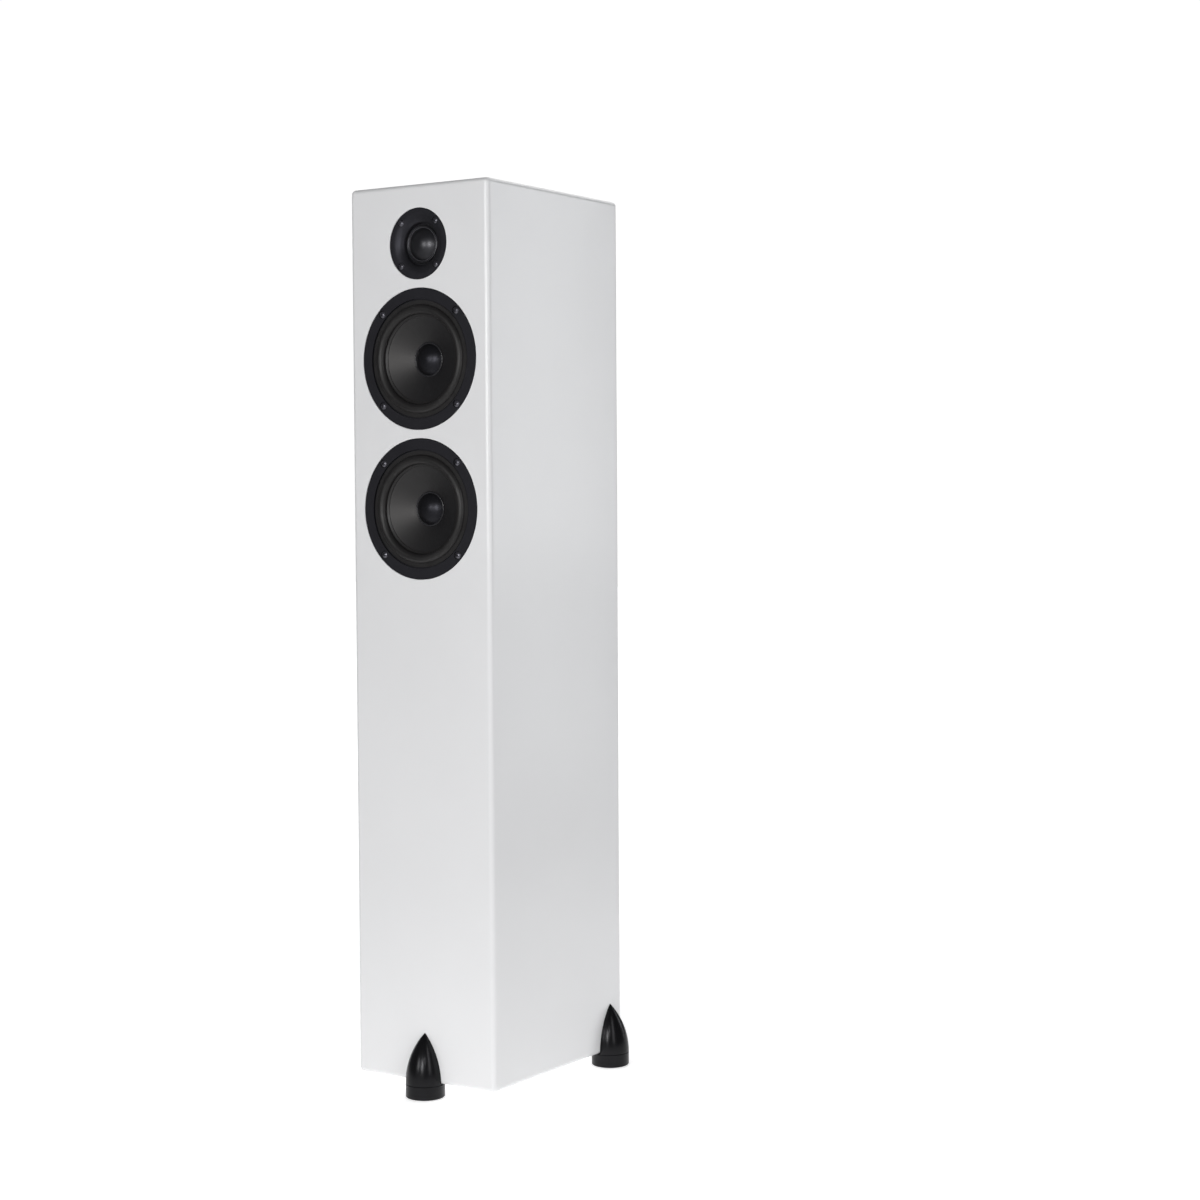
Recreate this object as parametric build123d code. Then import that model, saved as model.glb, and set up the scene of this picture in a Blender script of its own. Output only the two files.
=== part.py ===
from build123d import *
import os
from math import asin, cos, sin

# Slim floorstanding loudspeaker: one soft-dome tweeter over two identical woofers,
# a reflex port and binding posts at the back, standing on three claw feet.
# Millimetres. X runs across, Y from front (-) to back (+), Z up, floor at Z = 0.

# Cabinet
CAB_W = 172.0
CAB_D = 233.0
CAB_H = 900.0
WALL = 18.0
EDGE_R = 5.0
BRACE_T = 12.0
BRACE_HEIGHTS = (452.0, 652.0)

# Feet
FOOT_R = 20.0
FOOT_LIFT = 15.0
CLAW_H = 50.5
REAR_FOOT_SETBACK = 210.0
BOLT_INSET = 10.0

# Drivers: centre heights above the cabinet's underside
TWEETER_Z = 840.8
UPPER_WOOFER_Z = 726.7
LOWER_WOOFER_Z = 577.4
RECESS_GAP = 0.25
GASKET_T = 1.0

# Woofer, radii and depths behind the baffle's face
WOOFER_FLANGE_R = 70.4
WOOFER_FLANGE_T = 5.0
WOOFER_HOLE_R = 61.5
WOOFER_SCREW_XY = 45.8
CONE_R = 43.6
CONE_RIM_Z = -4.2
CONE_NECK_Z = -17.3
COIL_R = 16.05
MAGNET_R = 43.0

# Tweeter
TWEETER_FLANGE_R = 35.3
TWEETER_FLANGE_T = 4.0
TWEETER_HOLE_R = 27.5
TWEETER_SCREW_XY = 21.5
FLARE_R = 31.0
THROAT_R = 20.5
THROAT_Z = -7.0
DOME_R = 16.4
TWEETER_COIL_R = 16.2

# Reflex port
PORT_Z = 360.0
PORT_R = 25.0
PORT_FLANGE_R = 38.0
PORT_LENGTH = 110.0

# Terminal panel: 19.05 is the standard spacing of a twin 4 mm plug
TERMINAL_Z = 85.0
PLATE_SIZE = 80.0
PLATE_T = 3.0
POST_SPACING = 19.05
POST_R = 4.0
SOCKET_R = 2.0
COLLAR_T = 2.5
WASHER_T = 1.2
KNOB_R = 7.5
KNOB_L = 14.0
RUNNING_GAP = 0.05

# Crossover
BOARD_W = 100.0
BOARD_H = 140.0
BOARD_T = 1.6
BOARD_Z = 215.0
SPACER_L = 8.0
LEAD_R = 2.0
LEAD_LANE = 100.0
INPUT_LEAD_R = 1.5

POST_REACH = PLATE_T + COLLAR_T + WASHER_T + KNOB_L
Y_FRONT = FOOT_R - (FOOT_R + CAB_D + POST_REACH) / 2
Y_REAR = Y_FRONT + CAB_D
Y_MID = (Y_FRONT + Y_REAR) / 2
BOARD_FACE = CAB_D - WALL - SPACER_L - BOARD_T


def outline(*points):
    """A flat face through the given corners."""
    return Polygon(*points, align=None)


def lathe(profile):
    """Turn a (radius, height) profile about the vertical axis."""
    return revolve(Plane.XZ * profile, Axis.Z)


def ring(inner, outer, low, high):
    """A plain turned ring, or a disc when inner is zero."""
    return lathe(outline((inner, low), (outer, low), (outer, high), (inner, high)))


def dome_arc(rim_r, rim_z, apex_z):
    """Arc of a sphere from its apex on the axis down to the rim."""
    rise = apex_z - rim_z
    radius = (rim_r**2 + rise**2) / (2 * rise)
    half = asin(rim_r / radius) / 2
    middle = (radius * sin(half), apex_z - radius + radius * cos(half))
    return ThreePointArc((0, apex_z), middle, (rim_r, rim_z))


def on_baffle(shape, height):
    """Place a shape whose +Z points out of the front face."""
    return Pos(0, Y_FRONT, FOOT_LIFT + height) * Rot(90, 0, 0) * shape


def on_rear(shape, x, height):
    """Place a shape whose +Z points out of the rear face."""
    return Pos(x, Y_REAR, FOOT_LIFT + height) * Rot(-90, 0, 0) * shape


def inside(x, depth, height):
    """A point given by its depth behind the front face and height in the cabinet."""
    return (x, Y_FRONT + depth, FOOT_LIFT + height)


def four_corners(half):
    return [(half, half), (-half, half), (-half, -half), (half, -half)]


# ---------------------------------------------------------------- cabinet


def cabinet_block():
    block = Pos(0, Y_MID, FOOT_LIFT + CAB_H / 2) * Box(CAB_W, CAB_D, CAB_H)
    return fillet(block.edges(), EDGE_R)


def board(block, origin, inward, across, width, height):
    """One mitred board: full size outside, a wall thickness smaller all round inside."""
    plane = Plane(origin=origin, x_dir=across, z_dir=inward)
    return block & extrude(plane * Rectangle(width, height), amount=WALL, taper=45)


def driver_opening(recess_r, recess_depth, hole_r, screw_xy, pilot_r, pilot_depth):
    """Stepped hole for one driver with the four screw pilots around it."""
    cut = ring(0, recess_r, -recess_depth, 5) + ring(0, hole_r, -WALL - 5, 5)
    for x, y in four_corners(screw_xy):
        cut += Pos(x, y, 0) * ring(0, pilot_r, -pilot_depth, 0)
    return cut


def front_baffle(block):
    panel = board(block, (0, Y_FRONT, FOOT_LIFT + CAB_H / 2), (0, 1, 0), (1, 0, 0), CAB_W, CAB_H)
    recess_r = WOOFER_FLANGE_R + RECESS_GAP
    recess_depth = WOOFER_FLANGE_T + GASKET_T
    woofer_cut = driver_opening(recess_r, recess_depth, WOOFER_HOLE_R, WOOFER_SCREW_XY, 2.0, 16.5)
    recess_r = TWEETER_FLANGE_R + RECESS_GAP
    recess_depth = TWEETER_FLANGE_T + GASKET_T
    tweeter_cut = driver_opening(recess_r, recess_depth, TWEETER_HOLE_R, TWEETER_SCREW_XY, 1.6, 15.0)
    panel -= on_baffle(woofer_cut, UPPER_WOOFER_Z)
    panel -= on_baffle(woofer_cut, LOWER_WOOFER_Z)
    panel -= on_baffle(tweeter_cut, TWEETER_Z)
    return panel - foot_bolt_group()


def rear_panel(block):
    panel = board(block, (0, Y_REAR, FOOT_LIFT + CAB_H / 2), (0, -1, 0), (1, 0, 0), CAB_W, CAB_H)
    panel -= on_rear(ring(0, PORT_FLANGE_R + 0.2, -3.0, 5) + ring(0, 31.5, -WALL - 5, 5), 0, PORT_Z)
    window = extrude(RectangleRounded(54, 54, 6), amount=WALL + 10)
    panel -= on_rear(Pos(0, 0, -WALL - 5) * window, 0, TERMINAL_Z)
    for x, y in four_corners(PLATE_SIZE / 2 - 6):
        panel -= on_rear(Pos(x, y, 0) * ring(0, 1.5, -13.0, 0), 0, TERMINAL_Z)
    return panel - crossover_screw_group()


def side_panel(block, side):
    origin = (side * CAB_W / 2, Y_MID, FOOT_LIFT + CAB_H / 2)
    return board(block, origin, (-side, 0, 0), (0, 1, 0), CAB_D, CAB_H) - foot_bolt_group()


def top_panel(block):
    return board(block, (0, Y_MID, FOOT_LIFT + CAB_H), (0, 0, -1), (1, 0, 0), CAB_W, CAB_D)


def bottom_panel(block):
    panel = board(block, (0, Y_MID, FOOT_LIFT), (0, 0, 1), (1, 0, 0), CAB_W, CAB_D)
    return panel - foot_bolt_group()


def window_braces():
    """Two shelf braces with a large rounded window, level with the gaps between drivers."""
    shelf = Rectangle(CAB_W - 2 * WALL, CAB_D - 2 * WALL) - RectangleRounded(86, 147, 18)
    brace = extrude(shelf, amount=BRACE_T)
    return Compound(
        children=[Pos(0, Y_MID, FOOT_LIFT + z - BRACE_T / 2) * brace for z in BRACE_HEIGHTS]
    )


def damping_felt():
    """Felt sheets on the side walls between the braces and one under the top."""
    inner = CAB_W / 2 - WALL
    bays = ((24.0, 440.0), (464.0, 640.0), (664.0, 872.0))
    pads = []
    for low, high in bays:
        for side in (-1, 1):
            x = inner - 10 if side > 0 else -inner
            centre = inside(x, 118, (low + high) / 2)
            wall = Plane(origin=centre, x_dir=(0, 1, 0), z_dir=(1, 0, 0))
            pads.append(extrude(wall * RectangleRounded(150, high - low, 3), amount=10))
    cap = extrude(RectangleRounded(100, 130, 3), amount=8)
    pads.append(Pos(0, Y_FRONT + 128, FOOT_LIFT + CAB_H - WALL - 8) * cap)
    return Compound(children=pads)


# ---------------------------------------------------------------- woofers


def woofer_basket():
    """Cast frame: mounting flange, six spokes, spider landing and motor seat."""
    body = lathe(
        outline(
            (WOOFER_FLANGE_R, -0.4),
            (WOOFER_FLANGE_R - 0.4, 0),
            (59.5, 0),
            (59.5, -2.2),
            (54.6, -2.2),
            (54.6, -4.6),
            (42.6, -25.0),
            (34.5, -25.0),
            (34.5, -27.5),
            (39.0, -27.5),
            (39.0, -34.0),
            (24.0, -34.0),
            (24.0, -37.0),
            (44.5, -37.0),
            (44.5, -27.5),
            (57.6, -5.0),
            (WOOFER_FLANGE_R, -WOOFER_FLANGE_T),
        )
    )
    reach = 75.0
    half_tan = 0.384
    wedge = extrude(outline((0, 0), (reach, -reach * half_tan), (reach, reach * half_tan)), amount=14.5)
    for step in range(6):
        body -= Pos(0, 0, -23.5) * Rot(0, 0, 60 * step) * wedge
    for x, y in four_corners(WOOFER_SCREW_XY):
        body -= Pos(x, y, 0) * (ring(0, 2.2, -6, 0) + ring(0, 4.1, -1.2, 1))
    return body


def woofer_surround():
    """Rubber half-roll between the flange ledge and the rim of the cone."""
    lip_r = 42.4
    rim_slope = (CONE_RIM_Z - CONE_NECK_Z) / (CONE_R - COIL_R)
    lip_z = CONE_RIM_Z - rim_slope * (CONE_R - lip_r)
    return lathe(
        make_face(
            [
                Line((58.3, -2.2), (58.3, -1.2)),
                Line((58.3, -1.2), (54.3, -1.2)),
                ThreePointArc((54.3, -1.2), (49.6, 2.6), (44.6, -3.0)),
                Line((44.6, -3.0), (lip_r, lip_z + 0.75)),
                Line((lip_r, lip_z + 0.75), (lip_r, lip_z)),
                Line((lip_r, lip_z), (CONE_R, CONE_RIM_Z)),
                Line((CONE_R, CONE_RIM_Z), (45.4, -3.4)),
                ThreePointArc((45.4, -3.4), (49.6, 1.7), (53.5, -2.2)),
                Line((53.5, -2.2), (58.3, -2.2)),
            ]
        )
    )


def woofer_cone():
    return lathe(
        outline(
            (CONE_R, CONE_RIM_Z),
            (COIL_R, CONE_NECK_Z),
            (COIL_R, -20.0),
            (16.9, -20.0),
            (16.9, -17.85),
            (CONE_R, CONE_RIM_Z - 0.9),
        )
    )


def woofer_dust_cap():
    """Domed cap with the bead of glue that holds it to the cone."""
    slope = (CONE_RIM_Z - CONE_NECK_Z) / (CONE_R - COIL_R)
    bead_z = CONE_NECK_Z + slope * (17.5 - COIL_R)
    return lathe(
        make_face(
            [
                dome_arc(15.9, -16.2, -9.8),
                Line((15.9, -16.2), (16.5, -15.95)),
                Line((16.5, -15.95), (17.5, bead_z)),
                Line((17.5, bead_z), (COIL_R, CONE_NECK_Z)),
                Line((COIL_R, CONE_NECK_Z), (15.65, CONE_NECK_Z)),
                dome_arc(15.65, CONE_NECK_Z, -10.5),
                Line((0, -10.5), (0, -9.8)),
            ]
        )
    )


def woofer_spider():
    """Corrugated centring disc from the coil former out to the frame's landing."""
    top = [(20.0, -24.4)]
    low = [(20.0, -25.0)]
    for step in range(7):
        r = 21.1 + 2.2 * step
        lift = 1.1 if step % 2 == 0 else -1.1
        top.append((r, -24.4 + lift))
        low.append((r, -25.0 + lift))
    top.append((36.0, -24.4))
    low.append((36.0, -25.0))
    hub = COIL_R + RUNNING_GAP
    corners = [(hub, -25.0), (hub, -24.4)] + top + [(41.0, -24.4), (41.0, -25.0)] + low[::-1]
    return lathe(outline(*corners))


def woofer_voice_coil():
    former = ring(COIL_R - 0.4, COIL_R, -47.5, CONE_NECK_Z)
    winding = ring(COIL_R, 17.0, -47.0, -33.0)
    return Compound(children=[former, winding])


def woofer_top_plate():
    return ring(17.45, 41.5, -43.0, -37.0)


def woofer_magnet():
    return ring(25.0, MAGNET_R, -58.0, -43.0)


def woofer_yoke():
    """Back plate with the vented pole piece."""
    return ring(5.0, 41.0, -64.0, -58.0) + ring(5.0, 15.2, -64.0, -37.0)


def woofer_terminals():
    strip = Pos(0, -47.9, -37.8) * Box(16, 12.2, 1.6)
    tab = Box(0.8, 5, 7.4)
    return [strip, Pos(-4.5, -50, -42.3) * tab, Pos(4.5, -50, -42.3) * tab]


def round_head_screw(head_r, seat, crown, shank_r, tip, socket_r):
    """Domed socket-head screw; the head sits on z = seat and crowns above the flange."""
    head = lathe(
        make_face(
            [
                Line((0, seat), (head_r, seat)),
                Line((head_r, seat), (head_r, seat + 0.5)),
                dome_arc(head_r, seat + 0.5, crown),
                Line((0, crown), (0, seat)),
            ]
        )
    )
    shank = lathe(outline((0, seat), (shank_r, seat), (shank_r, tip + 2.5), (0.2, tip), (0, tip)))
    socket = Pos(0, 0, crown - 1.3) * extrude(RegularPolygon(socket_r, 6), amount=2)
    return head + shank - socket


def woofer_screws():
    screw = round_head_screw(3.75, -1.2, 1.2, 2.0, -16.5, 1.7)
    screws = []
    for height in (UPPER_WOOFER_Z, LOWER_WOOFER_Z):
        for x, y in four_corners(WOOFER_SCREW_XY):
            screws.append(on_baffle(Pos(x, y, 0) * screw, height))
    return Compound(children=screws)


# ---------------------------------------------------------------- tweeter


def tweeter_faceplate():
    """Round plate with a short flare running down to the dome."""
    body = lathe(
        make_face(
            [
                Line((TWEETER_FLANGE_R, -TWEETER_FLANGE_T), (TWEETER_FLANGE_R, -0.4)),
                Line((TWEETER_FLANGE_R, -0.4), (TWEETER_FLANGE_R - 0.4, 0)),
                Line((TWEETER_FLANGE_R - 0.4, 0), (FLARE_R, 0)),
                EllipticalCenterArc(
                    (FLARE_R, THROAT_Z), FLARE_R - THROAT_R, -THROAT_Z, start_angle=90, arc_size=90
                ),
                Line((THROAT_R, THROAT_Z), (THROAT_R, -8.4)),
                Line((THROAT_R, -8.4), (19.4, -8.4)),
                Line((19.4, -8.4), (19.4, -10.0)),
                Line((19.4, -10.0), (27.0, -10.0)),
                Line((27.0, -10.0), (27.0, -TWEETER_FLANGE_T)),
                Line((27.0, -TWEETER_FLANGE_T), (TWEETER_FLANGE_R, -TWEETER_FLANGE_T)),
            ]
        )
    )
    for x, y in four_corners(TWEETER_SCREW_XY):
        body -= Pos(x, y, 0) * (ring(0, 1.75, -6, 0) + ring(0, 3.45, -1.1, 1))
    return body


def tweeter_surround():
    """Small half-roll between the throat ledge and the rim of the dome."""
    return lathe(
        make_face(
            [
                Line((20.4, -8.4), (20.4, -7.9)),
                Line((20.4, -7.9), (19.3, -7.9)),
                ThreePointArc((19.3, -7.9), (17.95, -6.5), (16.75, -7.6)),
                Line((16.75, -7.6), (16.45, -7.75)),
                Line((16.45, -7.75), (16.45, -8.1)),
                Line((16.45, -8.1), (16.95, -8.0)),
                ThreePointArc((16.95, -8.0), (17.95, -7.0), (18.95, -8.4)),
                Line((18.95, -8.4), (20.4, -8.4)),
            ]
        )
    )


def tweeter_dome():
    """Coated fabric dome."""
    return lathe(
        make_face(
            [
                dome_arc(DOME_R, -7.8, -1.6),
                Line((DOME_R, -7.8), (DOME_R, -8.2)),
                Line((DOME_R, -8.2), (16.0, -8.2)),
                dome_arc(16.0, -8.2, -2.1),
                Line((0, -2.1), (0, -1.6)),
            ]
        )
    )


def tweeter_voice_coil():
    former = ring(TWEETER_COIL_R - 0.2, TWEETER_COIL_R, -14.5, -8.2)
    winding = ring(TWEETER_COIL_R, 16.55, -14.0, -10.8)
    return Compound(children=[former, winding])


def tweeter_top_plate():
    return ring(16.95, 26.0, -13.5, -10.0)


def tweeter_magnet():
    return ring(20.5, 25.5, -20.0, -13.5)


def tweeter_yoke():
    return ring(4.0, 25.5, -23.5, -20.0) + ring(4.0, 15.5, -23.5, -10.5)


def tweeter_rear_cup():
    """Closed chamber behind the vented pole."""
    cup = ring(0, 25.0, -48.0, -23.5)
    cup = fillet(cup.edges().group_by(Axis.Z)[0], 3)
    return cup - ring(0, 23.0, -46.0, -23.0)


def tweeter_terminals():
    strip = Pos(0, 0, -48.8) * Box(18, 9, 1.6)
    tab = Box(0.8, 5, 6)
    return [strip, Pos(-5.5, 0, -52.6) * tab, Pos(5.5, 0, -52.6) * tab]


def tweeter_screws():
    screw = round_head_screw(3.2, -1.1, 1.0, 1.6, -15.0, 1.5)
    return Compound(
        children=[on_baffle(Pos(x, y, 0) * screw, TWEETER_Z) for x, y in four_corners(TWEETER_SCREW_XY)]
    )


# ---------------------------------------------------------------- shared driver pieces


def gasket(inner, outer, flange_t, screw_xy, hole_r):
    seal = ring(inner, outer, -flange_t - GASKET_T, -flange_t)
    for x, y in four_corners(screw_xy):
        seal -= Pos(x, y, 0) * ring(0, hole_r, -10, 0)
    return seal


def driver_gaskets():
    woofer = gasket(WOOFER_HOLE_R, 70.0, WOOFER_FLANGE_T, WOOFER_SCREW_XY, 2.2)
    tweeter = gasket(TWEETER_HOLE_R, 35.0, TWEETER_FLANGE_T, TWEETER_SCREW_XY, 1.75)
    return Compound(
        children=[
            on_baffle(tweeter, TWEETER_Z),
            on_baffle(woofer, UPPER_WOOFER_Z),
            on_baffle(woofer, LOWER_WOOFER_Z),
        ]
    )


def driver_terminals():
    pieces = [on_baffle(piece, TWEETER_Z) for piece in tweeter_terminals()]
    for height in (UPPER_WOOFER_Z, LOWER_WOOFER_Z):
        pieces += [on_baffle(piece, height) for piece in woofer_terminals()]
    return Compound(children=pieces)


# ---------------------------------------------------------------- port


def port_tube():
    """Flared reflex tube let into the rear panel."""
    inner_end = -PORT_LENGTH
    lip = (PORT_R + 1.76, inner_end + 1.76)
    profile = make_face(
        [
            Line((PORT_FLANGE_R, -3.0), (PORT_FLANGE_R, 0)),
            Line((PORT_FLANGE_R, 0), (PORT_R + 10, 0)),
            EllipticalCenterArc((PORT_R + 10, -14), 10, 14, start_angle=90, arc_size=90),
            Line((PORT_R, -14), (PORT_R, inner_end + 6)),
            ThreePointArc((PORT_R, inner_end + 6), lip, (PORT_R + 6, inner_end)),
            Line((PORT_R + 6, inner_end), (PORT_R + 6, inner_end + 2.0)),
            Line((PORT_R + 6, inner_end + 2.0), (PORT_R + 2.5, inner_end + 8)),
            Line((PORT_R + 2.5, inner_end + 8), (PORT_R + 2.5, -18)),
            Line((PORT_R + 2.5, -18), (31.2, -5.0)),
            Line((31.2, -5.0), (31.2, -3.0)),
            Line((31.2, -3.0), (PORT_FLANGE_R, -3.0)),
        ]
    )
    return on_rear(lathe(profile), 0, PORT_Z)


# ---------------------------------------------------------------- terminal panel


def post_x(sign):
    return sign * POST_SPACING / 2


def terminal_plate():
    plate = extrude(RectangleRounded(PLATE_SIZE, PLATE_SIZE, 5), amount=PLATE_T)
    plate = chamfer(plate.edges().group_by(Axis.Z)[-1], 0.5)
    for x, y in four_corners(PLATE_SIZE / 2 - 6):
        plate -= Pos(x, y, 0) * (ring(0, 1.7, -1, 5) + ring(0, 3.1, 1.8, 5))
    for sign in (-1, 1):
        plate -= Pos(post_x(sign), 0, 0) * ring(0, 5.5, -1, 5)
    return on_rear(plate, 0, TERMINAL_Z)


def terminal_plate_screws():
    screw = round_head_screw(2.8, 1.8, PLATE_T + 0.9, 1.5, -13.0, 1.3)
    return Compound(
        children=[
            on_rear(Pos(x, y, 0) * screw, 0, TERMINAL_Z) for x, y in four_corners(PLATE_SIZE / 2 - 6)
        ]
    )


def post_collars():
    """Insulating bushes that carry the posts through the metal plate."""
    collar = ring(POST_R, 8.5, PLATE_T, PLATE_T + COLLAR_T) + ring(POST_R, 5.5, -1.5, PLATE_T)
    collar += ring(POST_R, 8.0, -1.5, 0)
    return Compound(children=[on_rear(collar, post_x(sign), TERMINAL_Z) for sign in (-1, 1)])


def binding_post_studs():
    """Two threaded studs with a 4 mm socket and a cross hole, and their clamping nuts."""
    tip = POST_REACH - 1.0
    stud = ring(0, POST_R, -12.0, tip)
    stud = chamfer(stud.edges().group_by(Axis.Z)[-1], 0.4)
    stud -= ring(0, SOCKET_R, PLATE_T, tip + 1)
    wire_hole = Pos(0, 0, PLATE_T + COLLAR_T + 1.7) * Rot(90, 0, 0) * Cylinder(1.5, 2 * POST_R + 2)
    stud -= wire_hole
    nut = Pos(0, 0, -6.5) * extrude(RegularPolygon(7.5, 6), amount=5)
    nut -= ring(0, POST_R, -8, 0)
    pieces = []
    for sign in (-1, 1):
        pieces.append(on_rear(stud, post_x(sign), TERMINAL_Z))
        pieces.append(on_rear(nut, post_x(sign), TERMINAL_Z))
    return Compound(children=pieces)


def clamp_washer(sign):
    seat = PLATE_T + COLLAR_T
    washer = ring(POST_R + RUNNING_GAP, 6.8, seat, seat + WASHER_T)
    return on_rear(washer, post_x(sign), TERMINAL_Z)


def post_knob(sign):
    """Fluted clamping knob, open at the end so a plug can enter the post."""
    base = PLATE_T + COLLAR_T + WASHER_T
    knob = ring(POST_R + RUNNING_GAP, KNOB_R, base, base + KNOB_L)
    rims = knob.edges().filter_by(GeomType.CIRCLE)
    knob = fillet(rims.filter_by(lambda rim: abs(rim.radius - KNOB_R) < 0.01), 0.8)
    flute = Cylinder(0.8, KNOB_L - 3)
    for step in range(14):
        angle = 6.283185 * step / 14
        knob -= Pos((KNOB_R + 0.3) * cos(angle), (KNOB_R + 0.3) * sin(angle), base + KNOB_L / 2) * flute
    return on_rear(knob, post_x(sign), TERMINAL_Z)


# ---------------------------------------------------------------- crossover and leads


def crossover_corners():
    return [(x, z) for x in (-44, 44) for z in (BOARD_Z - 64, BOARD_Z + 64)]


def along_depth(shape, x, depth, height):
    """Stand a shape whose +Z should point forwards on a plane facing the front."""
    return Pos(*inside(x, depth, height)) * Rot(90, 0, 0) * shape


def crossover_board():
    plate = extrude(Rectangle(BOARD_W, BOARD_H), amount=BOARD_T)
    plate = along_depth(plate, 0, BOARD_FACE + BOARD_T, BOARD_Z)
    return plate - crossover_screw_group()


def crossover_screw_group():
    """Four screws through the board and its spacers into the rear panel."""
    screw = ring(0, 1.5, -SPACER_L - BOARD_T - 10, 0) + ring(0, 3.2, 0, 2)
    return Compound(children=[along_depth(screw, x, BOARD_FACE, z) for x, z in crossover_corners()])


def crossover_spacers():
    spacer = ring(1.5, 4.0, -SPACER_L - BOARD_T, -BOARD_T)
    return [along_depth(spacer, x, BOARD_FACE, z) for x, z in crossover_corners()]


def crossover_fixings():
    return Compound(children=list(crossover_screw_group().solids()) + crossover_spacers())


def crossover_inductors():
    """Series coil of the woofers and shunt coil of the tweeter."""
    large = along_depth(ring(11, 24, 0, 24), -22, BOARD_FACE, 195)
    small = along_depth(ring(7, 15, 0, 14), 30, BOARD_FACE, 250)
    return Compound(children=[large, small])


def crossover_capacitors():
    """Shunt capacitor of the woofers and series capacitor of the tweeter."""
    large = Pos(*inside(28, BOARD_FACE - 12, 200)) * Cylinder(12, 46)
    small = Pos(*inside(-28, BOARD_FACE - 9, 248)) * Cylinder(9, 36)
    return Compound(
        children=[fillet(can.edges(), 1.5) for can in (large, small)]
    )


def crossover_resistor():
    return Pos(*inside(6, BOARD_FACE - 4.5, 248)) * Box(10, 9, 46)


def cable(radius, points, bends):
    """A round insulated lead swept along a smooth route."""
    route = FilletPolyline(*points, radius=bends)
    start = Plane(origin=route @ 0, z_dir=route % 0)
    return sweep(start * Circle(radius), path=route)


def driver_lead(lane_x, end_depth, end_height):
    points = [
        inside(lane_x, BOARD_FACE, 278),
        inside(lane_x, LEAD_LANE, 278),
        inside(lane_x, LEAD_LANE, end_height),
        inside(0, LEAD_LANE - 20, end_height),
        inside(0, end_depth, end_height),
    ]
    return cable(LEAD_R, points, [25, 12, 12])


def woofer_leads():
    return Compound(
        children=[
            driver_lead(-36, 38.6, UPPER_WOOFER_Z - 50),
            driver_lead(-20, 38.6, LOWER_WOOFER_Z - 50),
        ]
    )


def input_leads():
    leads = []
    for sign in (-1, 1):
        x = post_x(sign)
        points = [
            inside(x, CAB_D - 12, TERMINAL_Z),
            inside(x, 190, TERMINAL_Z),
            inside(x, 190, 153),
            inside(x, BOARD_FACE, 153),
        ]
        leads.append(cable(INPUT_LEAD_R, points, [10, 10]))
    return Compound(children=leads)


# ---------------------------------------------------------------- feet


def claw_foot():
    """Round foot whose half-bullet claw rises against the cabinet's face (+Y side cut flat).

    A hairline V-groove is turned just below where the claw leaves the round base.
    """
    base = lathe(
        outline(
            (0, 0.8),
            (FOOT_R, 0.8),
            (FOOT_R, FOOT_LIFT - 0.9),
            (FOOT_R - 0.35, FOOT_LIFT - 0.55),
            (FOOT_R, FOOT_LIFT - 0.2),
            (FOOT_R, FOOT_LIFT),
            (0, FOOT_LIFT),
        )
    )
    base = fillet(base.edges().group_by(Axis.Z)[0], 1.6)
    sweep_r = (FOOT_R**2 + CLAW_H**2) / (2 * FOOT_R)
    turn = asin(CLAW_H / sweep_r) / 8
    sweep = [
        (FOOT_R - sweep_r + sweep_r * cos(k * turn), FOOT_LIFT + sweep_r * sin(k * turn))
        for k in range(8)
    ]
    tip = (0, FOOT_LIFT + CLAW_H)
    half_bullet = make_face(
        [
            Line((0, FOOT_LIFT), (FOOT_R, FOOT_LIFT)),
            Spline(*sweep, tip),
            Line(tip, (0, FOOT_LIFT)),
        ]
    )
    claw = revolve(Plane.XZ * half_bullet, Axis.Z, revolution_arc=-180)
    foot = base + claw
    foot -= ring(0, 16.0, 0, 2.8)
    return foot - Pos(0, BOLT_INSET, 0) * (ring(0, 3.2, 0, 20) + ring(0, 5.3, 0, 7))


def foot_places():
    rear_y = Y_FRONT + REAR_FOOT_SETBACK
    return {
        "front": Pos(0, Y_FRONT, 0),
        "left": Pos(-CAB_W / 2, rear_y, 0) * Rot(0, 0, -90),
        "right": Pos(CAB_W / 2, rear_y, 0) * Rot(0, 0, 90),
    }


def foot_bolt_group():
    bolt = ring(0, 5.0, 3.0, 7.0) + ring(0, 3.0, 7.0, 27.0)
    bolt -= Pos(0, 0, 2.5) * extrude(RegularPolygon(2.8, 6), amount=3)
    bolt = Pos(0, BOLT_INSET, 0) * bolt
    return Compound(children=[place * bolt for place in foot_places().values()])


def foot_pads():
    pad = ring(0, 15.8, 0, 2.8)
    return Compound(children=[place * pad for place in foot_places().values()])


# ---------------------------------------------------------------- assembly


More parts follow.
